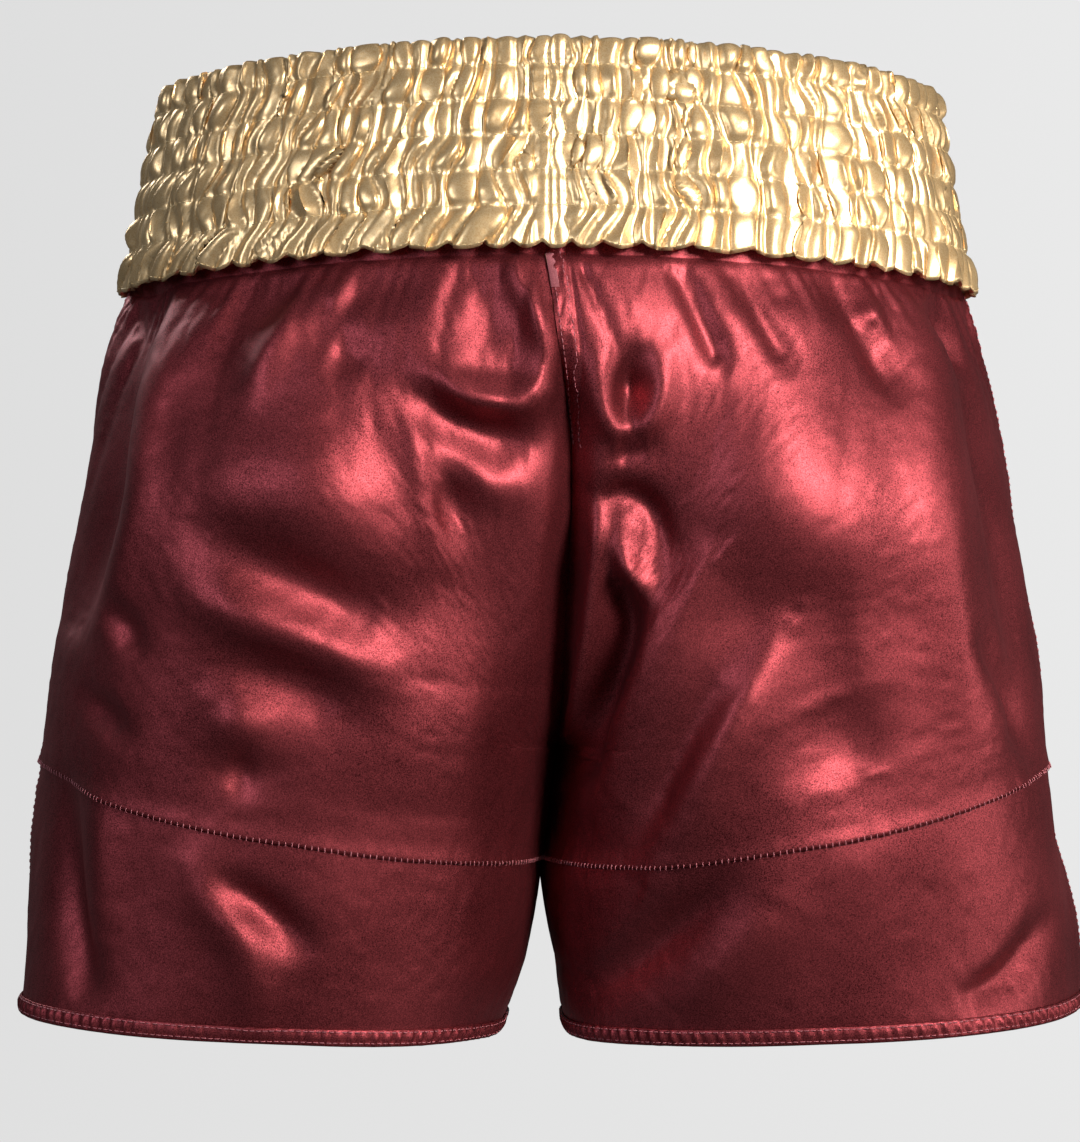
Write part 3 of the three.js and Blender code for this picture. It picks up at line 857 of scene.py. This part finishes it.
# %% Folds of the casing
BACK_ROWS = (0, 2.8, 6.4)
rng = np.random.default_rng(2024)
FOLD_COUNT = 126
widths = rng.uniform(0.55, 1.6, FOLD_COUNT)
edges = np.concatenate([[0], np.cumsum(widths)]) / widths.sum() * AROUND - AROUND / 2
mean_width = AROUND / FOLD_COUNT
shifts = rng.normal(0, 0.26, (len(BAND_LINES), FOLD_COUNT + 1)).clip(-0.42, 0.42) * mean_width
shifts = 0.5 * shifts + 0.5 * np.minimum(np.roll(widths, 1)[0], 1) * shifts
lean = -0.30 * BAND_LINES[:, None] * np.exp(-((edges + 90 * MM) / (110 * MM)) ** 2)[None, :]
line_edges = edges[None, :] + shifts + lean
line_edges[:, 0], line_edges[:, -1] = edges[0], edges[-1]
gaps = np.maximum(np.diff(np.sort(line_edges, axis=1), axis=1), 0.42 * mean_width)
gaps *= AROUND / gaps.sum(axis=1, keepdims=True)
line_edges = edges[0] + np.concatenate([np.zeros((len(gaps), 1)), np.cumsum(gaps, axis=1)], axis=1)
height_in_channel = rng.uniform(0.45, 1.25, (len(BAND_LINES) - 1, FOLD_COUNT))
height_on_line = rng.uniform(0.5, 1.0, (len(BAND_LINES), FOLD_COUNT))
crest_place = rng.uniform(0.7, 1.45, (len(BAND_LINES) - 1, FOLD_COUNT))
plateau = rng.uniform(0.45, 0.95, (len(BAND_LINES) - 1, FOLD_COUNT))
overlap = rng.normal(0, 0.2, (len(BAND_LINES) - 1, FOLD_COUNT))
kinks = rng.normal(0, 0.16, (len(BAND_LINES) - 1, FOLD_COUNT + 1)) * mean_width


def casing_row(depth, wall):
    """One row of the casing: its depth below the top edge, and which wall, 1 outside or -1 inside."""
    k = int(np.clip(np.searchsorted(BAND_LINES, depth, side="right") - 1, 0, len(BAND_LINES) - 2))
    t = float((depth - BAND_LINES[k]) / (BAND_LINES[k + 1] - BAND_LINES[k]))
    puff = max(math.sin(math.pi * t), 0) ** 0.6
    if k == 0 and t < 0.5:
        puff = 0.55 + 0.45 * puff
    if k == len(BAND_LINES) - 2 and t > 0.5:
        puff = 0.6 + 0.4 * puff
    valley = lerp(line_edges[k], line_edges[k + 1], t * t * (3 - 2 * t)) + kinks[k] * math.sin(math.pi * t)
    valley[0], valley[-1] = edges[0], edges[-1]
    index = np.interp(run, np.maximum.accumulate(valley), np.arange(FOLD_COUNT + 1))
    i = np.minimum(index.astype(int), FOLD_COUNT - 1)
    u = np.clip(index - i, 0, 1)
    if wall < 0:
        u = 1 - u
    on_line = lerp(height_on_line[k], height_on_line[k + 1], t)[i]
    tall = height_in_channel[k][i] * puff + (1 - puff) * 0.72 * on_line
    shape = np.sin(math.pi * u ** crest_place[k][i]) ** plateau[k][i]
    ripple = 0.08 * np.sin(3 * math.pi * u + 2.3 * i) * puff
    fold_width = (valley[i + 1] - valley[i]) / mean_width
    lift = tall * (shape + ripple) * (3.3 if wall > 0 else 2.2) * np.clip(fold_width, 0.45, 1.35) ** 0.6
    from_line = float(np.min(np.abs(BAND_LINES[1:] - depth)))
    base = 0.45 + (0.4 * puff if wall > 0 else 1.0 * smooth(from_line / (1.5 * MM)))
    cross = 0.10 * np.sin(2 * math.pi * (run / (6.3 * MM) + depth / (9 * MM) + 0.7 * np.sin(run / (21 * MM))))
    sway = 1.3 * np.sin(run / (33 * MM))
    cross += 0.08 * np.sin(2 * math.pi * (run / (4.1 * MM) - depth / (6 * MM) + sway))
    offset = base + lift + cross * puff * shape
    if wall > 0:
        strip = smooth((run + 5.4 * MM) / (0.5 * MM)) * (1 - smooth((run - 6.5 * MM) / (5 * MM)))
        rows = 0.55 * sum(np.exp(-((run - at * MM) / (0.75 * MM)) ** 2) for at in BACK_ROWS)
        dimples = 0.32 * np.sin(2 * math.pi * (depth / (2.7 * MM) + 0.12 * np.sin(run / (0.9 * MM))))
        flat = base + 2.1 + dimples - rows - 0.9 * smooth((run + 1 * MM) / (9 * MM))
        offset = lerp(offset, flat, strip * 0.88)
    sideways = overlap[k][i] * mean_width * np.sin(2 * math.pi * u) * puff
    drop = 0.0
    bays = run / (14.2 * MM) + 0.35 * np.sin(run / (19 * MM)) + 0.3 * np.sin(run / (31 * MM) + 1)
    scallop = np.abs(np.sin(math.pi * bays)) ** 0.8
    if depth > 70 * MM:
        drop = (0.2 + 3.0 * scallop) * MM * smooth((depth - 70 * MM) / (10 * MM)) * (1 if wall > 0 else 0.35)
    if depth < 8 * MM:
        drop = -2.0 * MM * (tall * shape - 0.35) * (1 - smooth(depth / (8 * MM)))
    return offset * MM * wall, drop, sideways


def casing_points(depth, wall, offset_scale=1.0, extra_drop=0.0, dip=True):
    offset, drop, sideways = casing_row(max(depth, 0), wall)
    turn = TURN + sideways / AROUND * 4
    turn[0], turn[-1] = -2, 2
    middle = band_point(turn, np.full_like(turn, depth))
    outward = np.stack([np.sin(math.pi / 2 * turn) * 0.75, -np.cos(math.pi / 2 * turn), 0 * turn], axis=-1)
    outward /= np.linalg.norm(outward, axis=1, keepdims=True)
    points = middle + outward * (offset * offset_scale)[:, None]
    points[:, 2] -= (drop if dip else 0) + extra_drop
    points[-1] = points[0]
    return points, outward


# %% The casing
per_channel = 8
channels = list(zip(BAND_LINES[1:-1], BAND_LINES[2:]))
outer_depths = np.concatenate([np.linspace(a, b, per_channel + 1)[:-1] for a, b in channels])
outer_depths = np.concatenate([np.linspace(0, BAND_LINES[1], 7)[:-1], outer_depths, [BAND_LINES[-1]]])
inner_depths = np.concatenate([np.linspace(a, b, 4)[:-1] for a, b in channels])
inner_depths = np.concatenate([np.linspace(0, BAND_LINES[1], 4)[:-1], inner_depths, [BAND_LINES[-1]]])
section = [casing_points(BAND_LINES[-1], 1, 0.15, -4.0 * MM, dip=False)[0]]
section.append(casing_points(BAND_LINES[-1], 1, 0.75, -0.4 * MM)[0])
section += [casing_points(depth, 1)[0] for depth in outer_depths[::-1]]
section.append(casing_points(0, 1, 0.75, -0.5 * MM)[0])
section.append(casing_points(0, 1, 0.1, -0.8 * MM)[0])
section.append(casing_points(0, -1, 0.7, -0.5 * MM)[0])
section += [casing_points(depth, -1)[0] for depth in inner_depths]
section.append(casing_points(BAND_LINES[-1], -1, 0.6, -1.5 * MM)[0])
section.append(casing_points(BAND_LINES[-1], -1, 0.25, -4.0 * MM)[0])
casing = welded(grid_object("waistband_satin", np.array(section)[::-1]), RING_WELD)
casing.data.materials.append(gold_satin)
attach(casing, "root")
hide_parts("waistband_casing")
outer = np.array([casing_points(depth, 1)[0] for depth in outer_depths])
print(f"waistband_satin: {len(casing.data.polygons)} faces")

# %% [markdown]
# ## Stitching
# A stitch is a short arch of thread whose ends go down through the cloth. Thousands are needed, so each is a
# curve of four points with a thin round bevel, and the curves of one thread are turned into one mesh.

# %% Stitches
def line_reader(points):
    """The length of a line of points, and a function that reads values kept along it."""
    travelled = run_along(points[None])[0]

    def read(values, at):
        return np.stack([np.interp(at, travelled, values[:, k]) for k in range(3)], axis=-1)

    return travelled[-1], read


def stitch_row(points, outward, pitch, length, lift, sink=0.35):
    """Stitches along a line of points: four points for each, in metres."""
    total, read = line_reader(points)
    count = max(int(total / pitch), 1)
    centres = (np.arange(count) + 0.5) * total / count
    out = read(outward, centres)
    ends = [read(points, centres + s * length / 2) + out * (lift - sink * MM) for s in (-1, 1)]
    tops = [read(points, centres + s * length / 4) + out * lift for s in (-1, 1)]
    return [(a, b, c, d) for a, b, c, d in zip(ends[0], tops[0], tops[1], ends[1])]


def cross_stitches(points, outward, over, pitch, length, lift, sink=0.3):
    """Stitches that lie across a line, such as those of a lapped edge."""
    total, read = line_reader(points)
    centres = np.arange(pitch / 2, total, pitch)
    middle, out, across = read(points, centres), read(outward, centres), read(over, centres)
    place = [(-0.5, lift - sink * MM), (-0.3, lift), (0.3, lift), (0.5, lift - sink * MM)]
    rows = [middle + across * (s * length) + out * height for s, height in place]
    return [tuple(r[n] for r in rows) for n in range(len(centres))]


def thread_piece(name, stitches, radius, material):
    curve = bpy.data.curves.new(name, "CURVE")
    curve.dimensions = "3D"
    curve.bevel_depth = radius
    curve.bevel_resolution = 0
    curve.use_fill_caps = True
    for stitch in stitches:
        spline = curve.splines.new("POLY")
        spline.points.add(len(stitch) - 1)
        spline.points.foreach_set("co", np.hstack([np.array(stitch), np.ones((len(stitch), 1))]).ravel())
        spline.use_smooth = True
    drawn = bpy.data.objects.new(name + "_curve", curve)
    bpy.context.scene.collection.objects.link(drawn)
    data = bpy.data.meshes.new_from_object(drawn.evaluated_get(bpy.context.evaluated_depsgraph_get()))
    bpy.data.objects.remove(drawn)
    data.name = name
    thing = bpy.data.objects.new(name, data)
    bpy.context.scene.collection.objects.link(thing)
    data.materials.clear()
    data.materials.append(material)
    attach(thing, "root")
    print(f"{name}: {len(stitches)} stitches, {len(data.polygons)} faces")


# %% Stitches of the waistband
stitches = []
for depth in BAND_LINES[1:-1]:
    for wall in (1, -1):
        points, outward = casing_points(depth, wall)
        stitches += stitch_row(points, outward * wall, 2.6 * MM, 1.9 * MM, 0.12 * MM)
points, outward = casing_points(BAND_LINES[-1] - 1.3 * MM, 1)
stitches += stitch_row(points, outward, 2.6 * MM, 1.9 * MM, 0.12 * MM)
rows = [casing_points(depth, 1) for depth in np.linspace(1.5 * MM, BAND_HEIGHT - 1 * MM, 60)]
for at in BACK_ROWS:
    column = int(np.argmin(np.abs(run - at * MM)))
    line = np.array([points[column] for points, _ in rows])
    out = np.array([outward[column] for _, outward in rows])
    stitches += stitch_row(line, out, 2.6 * MM, 1.9 * MM, 0.12 * MM)
thread_piece("channel_stitches", stitches, 0.2 * MM, gold_thread)

# %% Stitches of the panels
stitches = []
for (side, face, part), points in made.items():
    outward = surface_normals(points, side)
    if part == "upper":
        over = np.gradient(points, axis=0)
        over /= np.linalg.norm(over, axis=-1, keepdims=True)
        stitches += cross_stitches(points[-2], outward[-4], over[-4], 2.6 * MM, 1.7 * MM, 0.25 * MM)
    edge = -3 if face == "back" else 2
    line, out = points[:, edge], outward[:, edge]
    stitches += stitch_row(line[:-1], out[:-1], 2.8 * MM, 1.7 * MM, 0.12 * MM)
back = made[1, "back", "upper"]
outward, along = surface_normals(back, 1), run_along(back)
across = np.zeros_like(back[:, 0]) + (1.0, 0, 0)
fell_rows = np.arange(int(np.argmin(np.abs(back[:, 0, 2] + 150 * MM))))
for distance in (1.8 * MM, 6.6 * MM):
    columns = np.argmin(np.abs(along[fell_rows] - distance), axis=1)
    line, out = back[fell_rows, columns], outward[fell_rows, columns]
    stitches += stitch_row(line, out, 2.6 * MM, 1.7 * MM, 0.2 * MM)
    if distance < 2 * MM:
        stitches += cross_stitches(line[1:9], out[1:9], across[1:9], 0.5 * MM, 3.2 * MM, 0.3 * MM)
thread_piece("seam_stitches", stitches, 0.2 * MM, burgundy_thread)

# %% Stitches of the hems
stitches = []
for bottom, rise, outward in hem_rows.values():
    for height in (6.0, 1.6):
        line = bottom + rise * height * MM + outward * 0.85 * MM
        stitches += stitch_row(line, outward, 2.6 * MM, 1.8 * MM, 0.3 * MM)
thread_piece("hem_stitches", stitches, 0.22 * MM, burgundy_thread)

# %% [markdown]
# ## Elastics and care label
# The elastics and the label keep their CAD shapes, because those are right: flat loops and a small folded
# tape. They only need their finishes.

# %% Finishes of the carried-over nodes
for number in range(1, CHANNELS + 1):
    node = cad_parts[f"elastic_{number}"]
    node.data.materials.clear()
    node.data.materials.append(knitted_elastic)
label_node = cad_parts["care_label"]
label_node.data.materials.clear()
label_node.data.materials.append(woven_label)

# %% [markdown]
# ## Studio
# A narrow light on the right of the camera makes the sheen on the seat. Weak soft lights from the left, the
# right side, above and the front keep the folds readable. Satin only looks like satin when most of what it
# reflects is dark, so the sweep that the shorts hang in is not lit paper but a painted glow: it glows pale
# where the camera sees it directly, gives the cloth almost no light, and is painted darker on the left.

# %% Camera
camera_data = bpy.data.cameras.new("camera")
camera = bpy.data.objects.new("camera", camera_data)
camera.location = (-3.4 * MM, -1.5, -198 * MM)
camera.rotation_euler = (math.pi / 2, 0, 0)
camera_data.lens = 112.5
camera_data.sensor_width = 36
bpy.context.scene.collection.objects.link(camera)
bpy.context.scene.camera = camera


# %% Lights
AMBIENT = 0.07


def area_light(name, place, target, power, size, colour="#FFFFFF", spread=180):
    data = bpy.data.lights.new(name, "AREA")
    data.energy = power
    data.shape = "RECTANGLE"
    data.size, data.size_y = size
    data.spread = math.radians(spread)
    data.color = linear(colour)[:3]
    light = bpy.data.objects.new(name, data)
    light.location = place
    light.rotation_euler = (Vector(target) - Vector(place)).to_track_quat("-Z", "Y").to_euler()
    bpy.context.scene.collection.objects.link(light)
    return light


middle = (0, 0, -0.2)
area_light("key", (0.66, -1.04, 0.25), (0.10, -0.1, -0.15), 1.6, (0.34, 0.34), "#FFF6EC", 45)
area_light("side", (1.25, -0.35, -0.25), (0.1, 0, -0.2), 4, (0.25, 0.6), "#FFF6EC")
area_light("fill", (-0.9, -0.95, 0.12), (-0.08, 0, -0.2), 3.6, (0.34, 0.4), "#F4F7FF")
area_light("top", (0.2, -0.35, 1.1), middle, 0.35, (0.8, 0.5))
area_light("front", (-0.95, 1.0, 0.75), middle, 6, (0.5, 0.5))
world = bpy.data.worlds.new("studio")
bpy.context.scene.world = world
world.use_nodes = True
world.node_tree.nodes["Background"].inputs[0].default_value = linear("#F2F4F8")
world.node_tree.nodes["Background"].inputs[1].default_value = AMBIENT
bpy.context.scene.view_settings.view_transform = "Standard"

# %% Sweep
mesh = bmesh.new()
FLOOR, FLOOR_RADIUS, COVE = -0.62, 1.6, 1.0
profile = [(0.0, FLOOR), (FLOOR_RADIUS, FLOOR)]
profile += [(FLOOR_RADIUS + COVE * math.sin(a), FLOOR + COVE - COVE * math.cos(a))
            for a in np.linspace(0.15, math.pi / 2, 12)]
profile += [(FLOOR_RADIUS + COVE, 3.0)]
points = [mesh.verts.new((radius, 0, height)) for radius, height in profile]
edges_drawn = [mesh.edges.new(pair) for pair in zip(points[:-1], points[1:])]
bmesh.ops.spin(mesh, geom=points + edges_drawn, axis=(0, 0, 1), cent=(0, 0, 0), steps=64,
               angle=2 * math.pi, use_merge=True)
bmesh.ops.remove_doubles(mesh, verts=mesh.verts, dist=1e-5)
bmesh.ops.recalc_face_normals(mesh, faces=mesh.faces)
bmesh.ops.reverse_faces(mesh, faces=mesh.faces)
data = bpy.data.meshes.new("sweep")
mesh.to_mesh(data)
mesh.free()
data.polygons.foreach_set("use_smooth", np.ones(len(data.polygons), dtype=bool))
sweep = bpy.data.objects.new("sweep", data)
bpy.context.scene.collection.objects.link(sweep)
# The sweep's finish is a painted glow, not lit paper: pale emission for the camera, dim for everything else.
glowing_backdrop = bpy.data.materials.new("glowing backdrop with painted falloff")
glowing_backdrop.use_nodes = True
glowing_backdrop.node_tree.nodes.remove(glowing_backdrop.node_tree.nodes["Principled BSDF"])
across = add_node(glowing_backdrop, "ShaderNodeSeparateXYZ", links={
    "Vector": add_node(glowing_backdrop, "ShaderNodeTexCoord").outputs["Object"]}).outputs["X"]
# Painted light falloff: the glow is darker towards the left of the sweep and lighter towards the right.
painted_falloff = add_node(glowing_backdrop, "ShaderNodeMapRange", links={"Value": across}, inputs={
    "From Min": -0.6, "From Max": 0.6, "To Min": 0.735, "To Max": 0.815}).outputs["Result"]
# Painted glow: camera rays see the sweep pale, and the cloth's reflections see it only at the ambient level.
seen = add_node(glowing_backdrop, "ShaderNodeLightPath").outputs["Is Camera Ray"]
glow = add_node(glowing_backdrop, "ShaderNodeMapRange", inputs={"To Min": AMBIENT},
                links={"Value": seen, "To Max": painted_falloff})
light = add_node(glowing_backdrop, "ShaderNodeEmission", links={"Strength": glow.outputs["Result"]})
surface = glowing_backdrop.node_tree.nodes["Material Output"].inputs["Surface"]
glowing_backdrop.node_tree.links.new(light.outputs["Emission"], surface)
data.materials.append(glowing_backdrop)
